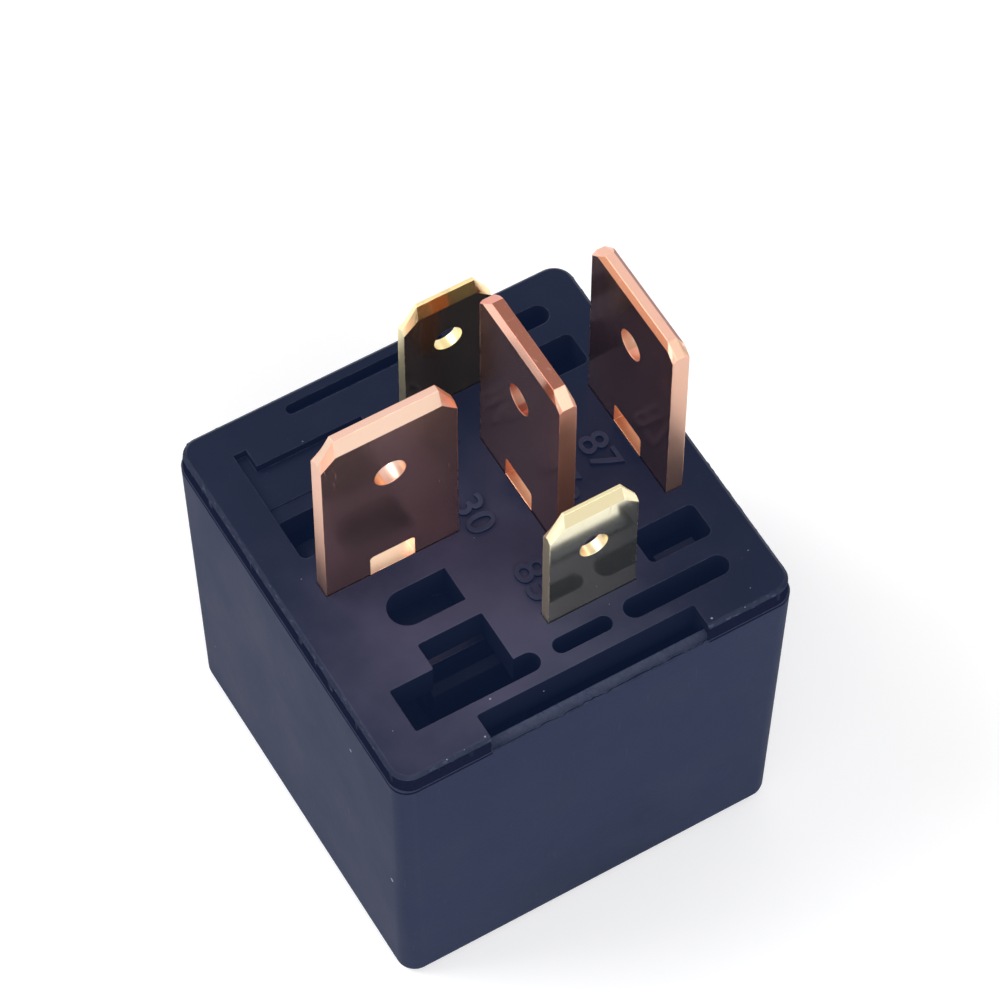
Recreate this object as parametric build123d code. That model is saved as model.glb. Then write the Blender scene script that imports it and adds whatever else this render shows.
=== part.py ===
from build123d import *
import os
from math import cos, pi, radians, sin, sqrt

# Plug-in changeover relay, millimetres. Z points along the blades, away from the closed end of the cover.
# The origin is the middle of the closed end, on its outer face.
# X runs along the row of the three load blades, Y along the pair of coil blades.

# Housing
height = 26.8              # closed end to the upper face of the base plate
plate_side = 28.6
plate_corner = 1.4
plate_bevel = 0.25
flange = 1.0               # base plate where it lies over the cover's rim
plate_depth = 2.5          # whole base plate
rim_gap = 0.5              # open line between the plate and the rim
rim_proud = 0.1            # cover outside the plate at the rim, each side
draft = 0.45               # cover drawn in towards the closed end, each side
cover_corner = 1.3
cover_edge = 0.8           # rounding round the closed end
edge_step = 30             # in steps of so many degrees
wall = 0.95
floor = 1.2
slip = 0.15                # base plate inside the cover, each side
catch_width, catch_height, catch_reach, catch_play = 6.0, 0.6, 0.35, 0.15
catch_down = 0.05          # catch below the rim

# Openings of the base plate: left, right, near and far edges, or the middle line and width of a slot
notch_left, notch_right, notch_reach = -7.75, 7.9, 1.9
half_slot_left, half_slot_right, half_slot_near, half_slot_far = -8.85, -4.1, -4.85, -2.21
step_left, step_neck, step_right = -11.5, -8.35, -3.75
step_near, step_middle, step_far = -11.5, -8.2, -6.2
arm_right, arm_width = -2.3, 1.42
short_slot_left, short_slot_right, short_slot_y, short_slot_width = -1.25, 2.95, -10.72, 1.15
long_slot_left, long_slot_right, long_slot_reach, long_slot_width = 3.9, 11.45, 11.0, 1.5
window_left, window_right, window_reach, window_width, window_corner = 7.2, 11.75, 7.53, 2.56, 0.45
ledge_left, ledge_right, ledge_width, ledge_drop = 8.0, 10.9, 1.1, 1.3
back_slot_left, back_slot_right, back_slot_inset, back_slot_width = -6.9, 4.6, 1.28, 0.72
corner_left, corner_right, corner_near, corner_far = -11.45, -6.6, 2.75, 6.25
recess_right, recess_far, recess_depth = -3.0, 10.3, 0.6
nook_right, nook_far = -10.55, 11.75
sill_far, sill_drop = 7.35, 0.12
cut_corner = 0.15          # rounding of the square openings' corners

# Blades: height of the flat faces above the plate, rise of the bevelled tip over them, depth of the bevel
# and cut corner of the faces
face_30, rise_30, bevel_30, corner_30 = 15.0, 1.25, 0.36, 1.05
face_87a, rise_87a, bevel_87a, corner_87a = 15.35, 0.8, 0.2, 0.35
face_87, rise_87, bevel_87, corner_87 = 14.95, 0.35, 0.3, 0.6
coil_face, coil_rise, coil_bevel, coil_corner = 10.1, 1.1, 0.28, 1.05
tip_corner = 1.1           # cut corners at the very top of a tip
load_width, load_thick = 9.5, 1.2
coil_width, coil_thick = 6.3, 0.8
load_hole, coil_hole = 2.2, 2.0
load_hole_up, coil_hole_up = 10.5, 6.6      # hole centre above the plate
foot_slot_width, foot_slot_height, foot_slot_corner = 3.2, 1.9, 0.3
blade_play = 0.05          # a blade in its slot, each side
guide_wall, guide_depth = 0.6, 3.6          # collars under the plate round two of the blades
row_y = 0.3                # load row off the middle of the housing
row_edge = 2.95            # middle of blade 87 from the plate's edge
x_87a = 3.35               # blade 87a off the middle of the housing
pitch_30 = 10.05           # blade 30 from blade 87a
coil_shift = 0.75          # both coil blades from blade 87a
coil_reach = 8.85          # either coil blade from the load row
leg_width, post_width, post_length = 2.6, 0.9, 3.0

# Magnet
pole_z = 8.1               # face of the core's head, which the armature meets
magnet_gap, strip_gap = 0.25, 0.4           # bobbin's end from the yoke and from the strip of blade 87a
pole_inset, pole_thick, pole_bevel = 1.15, 1.0, 0.2     # pole inside the bobbin's end
winding_depth = 1.9        # from the tube out
neck_inset = 0.8           # neck of the core inside its body
bobbin_play = 0.1
tube_wall, end_thick, top_thick = 0.75, 0.8, 1.3
winding_inset, upper_inset, upper_winding = 0.4, 0.75, 1.75
tape, wire = 0.12, 0.16
wrap_depth, wrap_length = 0.2, 1.2
lead_along, lead_side, lead_out = 3.55, 2.4, 0.4    # ends of the winding: from the axis, and past its side
yoke_thick, yoke_width, yoke_bend = 1.5, 12.0, 1.6
yoke_clear = 0.85          # short leg of the yoke from the strip of blade 87a
yoke_drop, cheek_drop, strip_drop = 1.8, 0.9, 3.8       # yoke, bobbin and strips below the plate's under side
cheek_thick = 0.8
grip = 1.1                 # bobbin round the leg of a coil terminal

# Armature, leaf and contacts
rest_tilt = 3.2            # swing of the armature from released to pulled in, degrees
armature_thick, armature_width, pole_lap = 1.5, 10.0, 0.4
armature_corner = 1.5
tail, tail_width = 1.75, 3.0                 # reach behind the yoke, of the armature and of the lug
tail_room = 0.49           # from the tail to the cover
pull_gap = 0.1             # left between armature and pole when pulled in
hinge_gap = 0.05
leaf_thick, leaf_width, root_width = 0.35, 4.6, 8.6
root_inset, root_lap = 0.65, 2.3             # leaf's root from the yoke's back, and past its rivets
rivet_along, rivet_reach, rivet_radius, rivet_head, rivet_head_radius = 4.0, 2.6, 0.8, 0.4, 1.3
contact_inset = 3.35       # contacts from the middle of blade 87
contact_radius, contact_head, crown, crown_reach = 1.8, 0.8, 0.2, 1.1
stem_radius, stem_play, tail_head, tail_head_radius = 0.9, 0.02, 0.35, 1.4
contact_gap = 0.12         # left between contacts that meet
strip_thick = load_thick
foot_play = 0.1            # foot of terminal 30 over the yoke
foot_reach, foot_depth = 3.6, 3.8
lug_room = 2.2             # end of the foot above the lug of the yoke
back_play = 0.15           # foot behind the yoke
strip_bend = 0.9
inner_width = 6.8          # strip of terminal 87 inside the housing
pass_by = 3.2              # leg of terminal 87a from the load row, past the leaf
contact_edge = 2.3         # strips past the middle of their contacts

# Return spring and braid
spring_radius, spring_wire, spring_turns, spring_end = 0.6, 0.14, 7, 1.2
turn_steps = 8             # straight steps in a turn of the spring
hook_hole = 0.45
lug_up, lug_thick, lug_width = 8.0, 0.8, 1.8           # lug above the armature
braid_radius, braid_bend, braid_seat = 0.7, 2.2, 0.05
braid_clear = 0.3          # braid from the yoke and from the armature's tail
ear_edge = 0.15            # ear of the leaf past the braid

plate_z = height - plate_depth
rim_z = height - flange - rim_gap
cover_side = plate_side + 2 * rim_proud
closed_side = cover_side - 2 * draft
insert_half = cover_side / 2 - wall - slip
catch_z = rim_z - catch_down - catch_height
notch_far = notch_reach - plate_side / 2
back_slot_y = plate_side / 2 - back_slot_inset
x_87 = plate_side / 2 - row_edge
x_30 = x_87a - pitch_30
x_coil = x_87a - coil_shift
back_reach = row_y - step_middle             # cheeks of the bobbin from the load row
cheek_left = step_neck - 0.05
cheek_top = plate_z - cheek_drop
yoke_top = plate_z - yoke_drop
strip_top = plate_z - strip_drop
armature_top = pole_z - pull_gap
room_half = (closed_side + (cover_side - closed_side) * armature_top / rim_z) / 2 - wall
yoke_back = tail_room + tail - room_half
yoke_right = x_87a - strip_thick / 2 - yoke_clear
magnet_left = yoke_back + yoke_thick + magnet_gap
magnet_right = x_87a - strip_thick / 2 - strip_gap
axis_x = (magnet_left + magnet_right) / 2    # core and winding
end_radius = (magnet_right - magnet_left) / 2
winding_radius = end_radius - winding_inset
upper_winding_radius = end_radius - upper_inset
core_radius = winding_radius - winding_depth - tube_wall
neck_radius = core_radius - neck_inset
pole_radius = end_radius - pole_inset
armature_right = axis_x + pole_radius + pole_lap
rivet_x = yoke_back + rivet_along
root_right = rivet_x + root_lap
contact_x = x_87 - contact_inset
lug_z = armature_top + lug_up
leaf_top = armature_top - armature_thick
leaf_bottom = leaf_top - leaf_thick
hinge = Location((yoke_back, row_y, armature_top))
swing_drop = (contact_x - yoke_back) * sin(radians(rest_tilt))
make_z = leaf_top + contact_head + contact_gap + contact_head       # under side of strip 87
break_z = leaf_bottom - contact_head - swing_drop - contact_gap - contact_head
foot_z = yoke_top + foot_play
bobbin_low = pole_z + pole_thick + braid_seat
bobbin_high = yoke_top - yoke_thick - braid_seat
winding_low = bobbin_low + end_thick + 0.05
winding_high = bobbin_high - top_thick - 0.05
post_bottom = winding_high - 2.4             # lower end of the posts for the wire
spring_x = yoke_back - tail + spring_radius + 0.25
foot_far = row_y + foot_depth
braid_x = yoke_back - braid_clear - braid_radius
braid_y = foot_far + braid_seat + braid_radius
tail_side = row_y + tail_width / 2 + braid_clear        # end of the braid, and near side of the leaf's ear


def box(x0, x1, y0, y1, z0, z1):
    return Pos((x0 + x1) / 2, (y0 + y1) / 2, (z0 + z1) / 2) * Box(x1 - x0, y1 - y0, z1 - z0)


def disc(x, y, z0, z1, radius):
    return Pos(x, y, (z0 + z1) / 2) * Cylinder(radius, z1 - z0)


def rounded_prism(x0, x1, y0, y1, z0, z1, radius):
    outline = Pos((x0 + x1) / 2, (y0 + y1) / 2, z0) * RectangleRounded(x1 - x0, y1 - y0, radius)
    return extrude(outline, z1 - z0)


def slot_prism(x0, x1, y, width, z0, z1):
    outline = Pos((x0 + x1) / 2, y, z0) * SlotOverall(x1 - x0, width)
    return extrude(outline, z1 - z0)


# Cover: a thin-walled box, drawn in towards the closed end, with its outer edges rounded
def cover_side_at(z):
    return closed_side + (cover_side - closed_side) * z / rim_z


def cover_section(z, inset, radius):
    side = cover_side_at(z) - 2 * inset
    return Pos(0, 0, z) * RectangleRounded(side, side, radius)


def make_cover():
    sections = []
    for angle in range(0, 91, edge_step):
        inset = cover_edge * (1 - sin(radians(angle)))
        sections.append(cover_section(cover_edge * (1 - cos(radians(angle))), inset, cover_corner - inset))
    body = loft(sections + [cover_section(rim_z, 0, cover_corner)], ruled=True)
    inner_corner = cover_corner - wall / 2
    body -= loft([cover_section(floor, wall, inner_corner), cover_section(rim_z, wall, inner_corner)])
    face = insert_half + slip
    outline = Polygon((face + wall / 3, catch_z), (face - catch_reach, catch_z), (face, catch_z + catch_height),
                      (face + wall / 3, catch_z + catch_height), align=None)
    catch = extrude(Plane.XZ * outline, catch_width / 2, both=True)
    return body + catch + Rot(0, 0, 180) * catch


# Base plate: a flange over the rim, a body inside the cover, collars and feet below, openings above
def plate_openings():
    low, high = plate_z - 1, height + 1
    cut = rounded_prism(notch_left, notch_right, -plate_side, notch_far, low, high, cut_corner)
    half_width = half_slot_far - half_slot_near
    middle = (half_slot_near + half_slot_far) / 2
    cut += slot_prism(half_slot_left, half_slot_right, middle, half_width, low, high)
    cut += box(half_slot_right - half_width, half_slot_right, half_slot_near, half_slot_far, low, high)
    steps = box(step_left, step_right, step_near, step_middle, low, high)
    steps += box(step_neck, step_right, step_near, step_far, low, high)
    cut += fillet(steps.edges().filter_by(Axis.Z), cut_corner)
    cut += slot_prism(step_right - arm_width, arm_right, step_near + arm_width / 2, arm_width, low, high)
    cut += slot_prism(short_slot_left, short_slot_right, short_slot_y, short_slot_width, low, high)
    cut += slot_prism(back_slot_left, back_slot_right, back_slot_y, back_slot_width, low, high)
    for side in (-1, 1):
        cut += slot_prism(long_slot_left, long_slot_right, row_y + side * long_slot_reach, long_slot_width,
                          low, high)
        middle = row_y + side * window_reach
        cut += rounded_prism(window_left, window_right, middle - window_width / 2, middle + window_width / 2,
                             low, high, window_corner)
    cut += rounded_prism(corner_left, corner_right, corner_near, corner_far, low, high, window_corner)
    return cut


def plate_recess():
    floor_z = height - recess_depth
    cut = box(corner_left, recess_right, corner_far, recess_far, floor_z, height + 1)
    cut += box(corner_left, nook_right, corner_far, nook_far, floor_z, height + 1)
    return cut + box(corner_left, recess_right, corner_far - 0.5, sill_far, floor_z - sill_drop, height)


def blade_slots():
    load = (load_width, load_thick)
    coil = (coil_width, coil_thick)
    places = [(x_30, row_y, load, 0), (x_87a, row_y, load, 90), (x_87, row_y, load, 90),
              (x_coil, row_y - coil_reach, coil, 0), (x_coil, row_y + coil_reach, coil, 0)]
    depth = 2 * (plate_depth + guide_depth)
    slots = [Pos(x, y, height) * Rot(0, 0, turn) * Box(width + 2 * blade_play, thick + 2 * blade_play, 2 * depth)
             for x, y, (width, thick), turn in places]
    return slots[0] + slots[1:]


def make_base():
    half = plate_side / 2
    body = rounded_prism(-half, half, -half, half, height - flange, height, plate_corner)
    body = chamfer(body.faces().sort_by(Axis.Z)[-1].edges(), plate_bevel)
    body += rounded_prism(-insert_half, insert_half, -insert_half, insert_half, plate_z, height - flange,
                          cover_corner / 2)
    for x in (x_87a, x_87):
        out = load_thick / 2 + guide_wall
        reach = load_width / 2 + guide_wall
        body += box(x - out, x + out, row_y - reach, row_y + reach, plate_z - guide_depth, plate_z)
    # feet on the yoke
    for side in (-1, 1):
        middle = row_y + side * (yoke_width / 2 - 1.4)
        body += box(yoke_right - 2.8, yoke_right - 0.3, middle - 1, middle + 1, yoke_top, plate_z)
    body -= plate_openings()
    near = row_y - window_reach - window_width / 2
    body += box(ledge_left, ledge_right, near - 0.1, near + ledge_width, plate_z, height - ledge_drop)
    body -= plate_recess()
    body -= blade_slots()
    pocket = box(insert_half - catch_reach, insert_half + 1, -catch_width / 2 - catch_play,
                 catch_width / 2 + catch_play, catch_z - catch_play, catch_z + catch_height + catch_play)
    return body - pocket - Rot(0, 0, 180) * pocket


# Blades: a flat strip with a round latching hole, bevelled round its tip: the faces end below the middle
def blade(width, thick, face, rise, bevel, corner, hole, hole_up, below):
    side = width / 2
    def outline(top, inset, shoulder):
        return Polygon((-side, -below), (side, -below), (side, shoulder), (side - inset, top),
                       (-side + inset, top), (-side, shoulder), align=None)
    outer = outline(face, corner, face - corner)
    middle = outline(face + rise, tip_corner, face - corner + bevel)
    depth = thick / 2 - bevel
    body = extrude(Plane.XZ * middle, depth, both=True)
    for turn in (0, 180):
        body += Rot(0, 0, turn) * loft([Plane.XZ.offset(depth) * middle, Plane.XZ.offset(thick / 2) * outer],
                                       ruled=True)
    return body - Pos(0, 0, hole_up) * Rot(90, 0, 0) * Cylinder(hole / 2, 3 * thick)


def load_blade(face, rise, bevel, corner, below):
    body = blade(load_width, load_thick, face, rise, bevel, corner, load_hole, load_hole_up, below)
    half = foot_slot_width / 2
    slot = box(-half, half, -load_thick, load_thick, 0, foot_slot_height)
    return body - fillet(slot.edges().filter_by(Axis.Y).group_by(Axis.Z)[-1], foot_slot_corner)


def outer_bend(body, point, radius):
    edge = body.edges().filter_by(lambda e: abs(e.tangent_at(0.5).Z) < 0.01).sort_by_distance(point)[0]
    return fillet(edge, radius)


# Terminal 30: its foot lies over the yoke and turns down behind it, where the braid starts
def make_terminal_30():
    body = Pos(x_30, row_y, height) * load_blade(face_30, rise_30, bevel_30, corner_30, height - foot_z)
    near = row_y - load_thick / 2
    right = yoke_back - back_play
    left = right - strip_thick
    top = foot_z + strip_thick
    body += box(left, x_30 + foot_reach, near, foot_far, foot_z, top)
    body += box(left, right, near, foot_far, lug_z + lug_thick + lug_room, top)
    return outer_bend(body, (left, (near + foot_far) / 2, top), strip_bend)


# Terminal 87: turned in above the moving contact, which meets it when the coil is fed
def make_terminal_87():
    body = load_blade(face_87, rise_87, bevel_87, corner_87, height - strip_top + 0.5)
    body = Pos(x_87, row_y, height) * Rot(0, 0, 90) * body
    half = inner_width / 2
    left, right = x_87 - strip_thick / 2, x_87 + strip_thick / 2
    body += box(left, right, row_y - half, row_y + half, make_z, strip_top)
    body += box(contact_x - contact_edge, right, row_y - half, row_y + half, make_z, make_z + strip_thick)
    body = outer_bend(body, (right, row_y, make_z), strip_bend)
    return body - disc(contact_x, row_y, make_z - 1, make_z + 3, stem_radius + stem_play)


# Terminal 87a: one leg passes the leaf and turns in below the moving contact, which rests on it
def make_terminal_87a():
    body = load_blade(face_87a, rise_87a, bevel_87a, corner_87a, height - strip_top + 0.5)
    body = Pos(x_87a, row_y, height) * Rot(0, 0, 90) * body
    left, right = x_87a - strip_thick / 2, x_87a + strip_thick / 2
    near, far = row_y + pass_by, row_y + load_width / 2
    low = break_z - strip_thick
    body += box(left, right, near, far, low, strip_top)
    body += box(left, contact_x + contact_edge, near, far, low, break_z)
    body += box(right + 0.4, contact_x + contact_edge, row_y - contact_edge, far, low, break_z)
    body = outer_bend(body, (left, far - 1, low), strip_bend)
    return body - disc(contact_x, row_y, low - 1, break_z + 1, stem_radius + stem_play)


# Coil terminals: below the plate the blade narrows to a leg held in the bobbin, then to a post for the wire
def make_coil_terminal(side):
    y = row_y + side * coil_reach
    near, far = y - coil_thick / 2, y + coil_thick / 2
    body = Pos(x_coil, y, height) * blade(coil_width, coil_thick, coil_face, coil_rise, coil_bevel, coil_corner,
                                          coil_hole, coil_hole_up, height - cheek_top - 0.3)
    half = leg_width / 2
    body += box(x_coil - half, x_coil + half, near, far, post_bottom + post_length, cheek_top + 0.5)
    return body + box(x_coil - half, x_coil - half + post_width, near, far, post_bottom,
                      post_bottom + post_length + 0.2)


# Yoke: an angle of soft iron with a lug for the return spring; the armature hinges on its long leg's end
def make_yoke():
    near, far = row_y - yoke_width / 2, row_y + yoke_width / 2
    under = yoke_top - yoke_thick
    body = box(yoke_back, yoke_back + yoke_thick, near, far, armature_top + hinge_gap, yoke_top)
    body += box(yoke_back, yoke_right, near, far, under, yoke_top)
    body = outer_bend(body, (yoke_back, row_y, yoke_top), yoke_bend)
    body -= disc(axis_x, row_y, under - 1, yoke_top + 1, neck_radius + stem_play)
    half = lug_width / 2
    lug = box(yoke_back - tail, yoke_back + 0.2, row_y - half, row_y + half, lug_z, lug_z + lug_thick)
    return body + (lug - disc(spring_x, row_y, lug_z - 1, lug_z + 2, hook_hole))


# Core: pole head below the winding, neck riveted into the yoke
def make_core():
    under = yoke_top - yoke_thick
    body = disc(axis_x, row_y, pole_z, pole_z + pole_thick, pole_radius)
    body = chamfer(body.edges().filter_by(GeomType.CIRCLE), pole_bevel)
    body += disc(axis_x, row_y, pole_z + pole_thick - 0.1, under, core_radius)
    return body + disc(axis_x, row_y, under - 0.1, yoke_top, neck_radius)


# Bobbin: tube, round lower end, square upper end whose cheeks stand beside the yoke and grip the terminals
def make_bobbin():
    right = x_87a - strip_thick / 2 - guide_wall - bobbin_play
    body = disc(axis_x, row_y, bobbin_low, bobbin_high, core_radius + tube_wall)
    body += disc(axis_x, row_y, bobbin_low, bobbin_low + end_thick, end_radius)
    low = bobbin_high - top_thick
    body += box(cheek_left, right, row_y - back_reach, row_y + back_reach, low, bobbin_high)
    inner = yoke_width / 2 + slip
    half = leg_width / 2
    for side in (-1, 1):
        middle = row_y + side * (back_reach - cheek_thick / 2)
        body += box(cheek_left, right, middle - cheek_thick / 2, middle + cheek_thick / 2, low, cheek_top)
        outer = coil_reach + grip
        middle = row_y + side * (inner + outer) / 2
        depth = outer - inner
        body += box(x_coil - half - grip, x_coil + half + grip, middle - depth / 2, middle + depth / 2,
                    low, cheek_top)
        y = row_y + side * coil_reach
        body -= box(x_coil - half - blade_play, x_coil + half + blade_play, y - coil_thick / 2 - blade_play,
                    y + coil_thick / 2 + blade_play, low - 1, cheek_top + 1)
    return body - disc(axis_x, row_y, bobbin_low - 1, bobbin_high + 1, core_radius + bobbin_play)


# Winding, with its two wire ends brought out to the posts of the coil terminals
def make_winding():
    step = winding_high - upper_winding
    body = disc(axis_x, row_y, winding_low, step, winding_radius)
    body += disc(axis_x, row_y, step, winding_high, upper_winding_radius)
    body -= disc(axis_x, row_y, winding_low - 1, winding_high + 1, core_radius + tube_wall + stem_play)
    post_x = x_coil - leg_width / 2 + post_width / 2
    for side in (-1, 1):
        post_y = row_y + side * coil_reach
        start = Vector(axis_x + lead_along, row_y + side * lead_side, step + upper_winding / 2)
        turn = Vector(post_x, row_y + side * (upper_winding_radius + lead_out), step + upper_winding / 2)
        end = Vector(post_x, post_y - side * coil_thick / 2, post_bottom + wrap_length)
        section = Plane(origin=start, z_dir=turn - start) * RegularPolygon(wire, 6)
        body += sweep(section, path=Polyline(start, turn, end), transition=Transition.RIGHT)
        around, out = post_width / 2 + wrap_depth, coil_thick / 2 + wrap_depth
        wrap = box(post_x - around, post_x + around, post_y - out, post_y + out,
                   post_bottom + 0.5, post_bottom + 0.5 + wrap_length)
        body += chamfer(wrap.edges().filter_by(Axis.Z), wrap_depth)
        body -= box(post_x - post_width / 2 - stem_play, post_x + post_width / 2 + stem_play,
                    post_y - coil_thick / 2 - stem_play, post_y + coil_thick / 2 + stem_play,
                    post_bottom - 1, post_bottom + post_length)
    return body


def make_tape():
    low, high = winding_low + 0.1, winding_high - upper_winding - 0.1
    band = disc(axis_x, row_y, low, high, winding_radius + tape)
    return band - disc(axis_x, row_y, low - 1, high + 1, winding_radius + stem_play)


# Moving parts are drawn pulled in, then let down about the end of the yoke to the released position
def released(shape):
    return shape.moved(hinge * Rot(0, rest_tilt, 0) * hinge.inverse())


def rivet_places():
    return [(rivet_x, row_y - rivet_reach), (rivet_x, row_y + rivet_reach)]


def make_armature():
    half = armature_width / 2
    body = box(yoke_back, armature_right, row_y - half, row_y + half, leaf_top, armature_top)
    body = chamfer(body.edges().filter_by(Axis.Z).group_by(Axis.X)[-1], armature_corner)
    half = tail_width / 2
    body += box(yoke_back - tail, yoke_back + 0.5, row_y - half, row_y + half, leaf_top, armature_top)
    body -= disc(spring_x, row_y, leaf_top - 1, armature_top + 1, hook_hole)
    for x, y in rivet_places():
        body -= disc(x, y, leaf_top - 1, armature_top + 1, rivet_radius + stem_play)
    return released(body)


def make_leaf():
    half = root_width / 2
    left = yoke_back + root_inset
    body = box(left, root_right, row_y - half, row_y + half, leaf_bottom, leaf_top)
    # ear for the braid
    body += box(braid_x - braid_radius - ear_edge, left, tail_side, row_y + half, leaf_bottom, leaf_top)
    half = leaf_width / 2
    body += box(root_right - 0.5, contact_x, row_y - half, row_y + half, leaf_bottom, leaf_top)
    body += disc(contact_x, row_y, leaf_bottom, leaf_top, half)
    for x, y in rivet_places():
        body -= disc(x, y, leaf_bottom - 1, leaf_top + 1, rivet_radius + stem_play)
    return released(body - disc(contact_x, row_y, leaf_bottom - 1, leaf_top + 1, stem_radius + stem_play))


def make_leaf_rivets():
    rivets = []
    for x, y in rivet_places():
        rivet = disc(x, y, leaf_bottom - 0.1, armature_top - stem_play, rivet_radius)
        rivet += disc(x, y, leaf_bottom - rivet_head, leaf_bottom, rivet_head_radius)
        rivets.append(released(rivet))
    return Compound(children=[rivet.solids()[0] for rivet in rivets])


# Contact heads have a raised face, turned to a shallow cone
def contact_rivet_head(z, up):
    face = z + up * contact_head
    rim = face - up * crown
    body = disc(contact_x, row_y, min(z, rim), max(z, rim), contact_radius)
    cone = Cone(contact_radius, contact_radius - crown_reach, crown)
    return body + Pos(contact_x, row_y, (rim + face) / 2) * Rot(90 - 90 * up, 0, 0) * cone


def make_moving_contact():
    body = disc(contact_x, row_y, leaf_bottom - 0.1, leaf_top + 0.1, stem_radius)
    return released(body + contact_rivet_head(leaf_top, 1) + contact_rivet_head(leaf_bottom, -1))


def fixed_contact(face, up):
    back = face - up * strip_thick
    low, high = sorted((face + up * 0.1, back - up * 0.1))
    body = disc(contact_x, row_y, low, high, stem_radius) + contact_rivet_head(face, up)
    low, high = sorted((back, back - up * tail_head))
    return body + disc(contact_x, row_y, low, high, tail_head_radius)


# Braid: copper cord from the foot of terminal 30 down behind the yoke, then in onto the ear of the leaf
def make_braid():
    ear_rise = (yoke_back - braid_x + braid_radius) * sin(radians(rest_tilt))
    low = leaf_top + ear_rise + braid_radius + braid_seat
    top = Vector(braid_x, braid_y, foot_z - 0.4)
    corner = Vector(braid_x, braid_y, low)
    path = FilletPolyline(top, corner, Vector(braid_x, tail_side, low), radius=braid_bend)
    return sweep(Plane(origin=top, z_dir=(0, 0, -1)) * RegularPolygon(braid_radius, 8), path=path)


# Return spring: hooked through the tail of the armature and the lug of the yoke
def make_spring():
    low, high = armature_top + spring_end, lug_z - spring_end
    steps = spring_turns * turn_steps
    points = []
    for step in range(steps + 1):
        angle = 2 * pi * step / turn_steps
        rise = (high - low) * step / steps
        points.append(Vector(spring_radius * cos(angle), spring_radius * sin(angle), rise))
    coil = Polyline(points)
    side = spring_wire * sqrt(pi)
    section = Plane(origin=points[0], z_dir=points[1] - points[0]) * Rectangle(side, side)
    body = Pos(spring_x, row_y, low) * sweep(section, path=coil, transition=Transition.RIGHT)
    for end, hook in ((low, leaf_top + armature_thick / 2), (high, lug_z + lug_thick + 0.2)):
        z0, z1 = sorted((end, hook))
        body += box(spring_x - spring_wire, spring_x + spring_wire, row_y - spring_wire, row_y + spring_wire, z0, z1)
        body += box(spring_x, spring_x + spring_radius, row_y - spring_wire, row_y + spring_wire,
                    end - spring_wire, end + spring_wire)
    return body


pieces = {
    "cover": make_cover(),
    "base": make_base(),
    "terminal_30": make_terminal_30(),
    "terminal_87": make_terminal_87(),
    "terminal_87a": make_terminal_87a(),
    "terminal_85": make_coil_terminal(-1),
    "terminal_86": make_coil_terminal(1),
    "yoke": make_yoke(),
    "core": make_core(),
    "bobbin": make_bobbin(),
    "winding": make_winding(),
    "coil_tape": make_tape(),
    "armature": make_armature(),
    "contact_leaf": make_leaf(),
    "leaf_rivets": make_leaf_rivets(),
    "moving_contact": make_moving_contact(),
    "contact_87": fixed_contact(make_z, -1),
    "contact_87a": fixed_contact(break_z, 1),
    "braid": make_braid(),
    "return_spring": make_spring(),
}

os.makedirs("parts", exist_ok=True)
for name, shape in pieces.items():
    export_step(shape, f"parts/{name}.step")
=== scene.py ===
import math

import bpy
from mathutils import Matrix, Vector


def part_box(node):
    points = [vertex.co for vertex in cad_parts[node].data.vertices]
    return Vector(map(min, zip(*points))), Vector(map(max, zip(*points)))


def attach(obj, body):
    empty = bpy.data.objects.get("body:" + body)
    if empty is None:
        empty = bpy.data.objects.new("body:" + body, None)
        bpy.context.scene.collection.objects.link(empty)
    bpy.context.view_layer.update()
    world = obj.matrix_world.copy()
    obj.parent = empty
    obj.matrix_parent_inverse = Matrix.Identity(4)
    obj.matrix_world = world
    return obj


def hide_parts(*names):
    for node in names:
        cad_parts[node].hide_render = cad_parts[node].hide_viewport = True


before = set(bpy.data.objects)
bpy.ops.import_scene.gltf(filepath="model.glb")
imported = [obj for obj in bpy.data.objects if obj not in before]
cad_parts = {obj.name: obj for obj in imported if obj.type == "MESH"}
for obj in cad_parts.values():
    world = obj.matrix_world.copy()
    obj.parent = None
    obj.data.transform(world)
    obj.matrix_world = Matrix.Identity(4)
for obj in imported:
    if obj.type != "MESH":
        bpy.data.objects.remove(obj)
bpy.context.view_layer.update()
bpy.ops.object.select_all(action="DESELECT")


# Core, yoke and armature: soft iron parts of the magnet, stamped or turned,
# blackened against rust, and a little paler where they were handled.

# a node whose settings are set first, then its sockets: an output is linked, anything else is a plain value
def node(tree, kind, sockets=None, **settings):
    made = tree.nodes.new(kind)
    for key, value in settings.items():
        setattr(made, key, value)
    for key, value in (sockets or {}).items():
        if isinstance(value, bpy.types.NodeSocket):
            tree.links.new(value, made.inputs[key])
        else:
            made.inputs[key].default_value = value
    return made


# a node group for an effect that several finishes share, with the sockets of its own two ends
def effect(name, inputs, outputs):
    tree = bpy.data.node_groups.new(name, "ShaderNodeTree")
    for label, kind, value in inputs:
        tree.interface.new_socket(label, in_out="INPUT", socket_type=kind).default_value = value
    for label, kind in outputs:
        tree.interface.new_socket(label, in_out="OUTPUT", socket_type=kind)
    return tree, tree.nodes.new("NodeGroupInput").outputs, tree.nodes.new("NodeGroupOutput").inputs


# an effect set down in a finish with its own values
def place(tree, group, **values):
    return node(tree, "ShaderNodeGroup", values, node_tree=group).outputs


# a sum worked out over the surface
def reckon(tree, operation, *values, clamp=False):
    return node(tree, "ShaderNodeMath", dict(enumerate(values)), operation=operation,
                use_clamp=clamp).outputs["Value"]


# one colour laid over another where share is 1
def blend(tree, share, under, over):
    return node(tree, "ShaderNodeMix", {0: share, 6: under, 7: over}, data_type="RGBA").outputs[2]


def material(name):
    made = bpy.data.materials.new(name)
    made.use_nodes = True
    tree = made.node_tree
    return made, tree, tree.nodes["Principled BSDF"]


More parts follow.
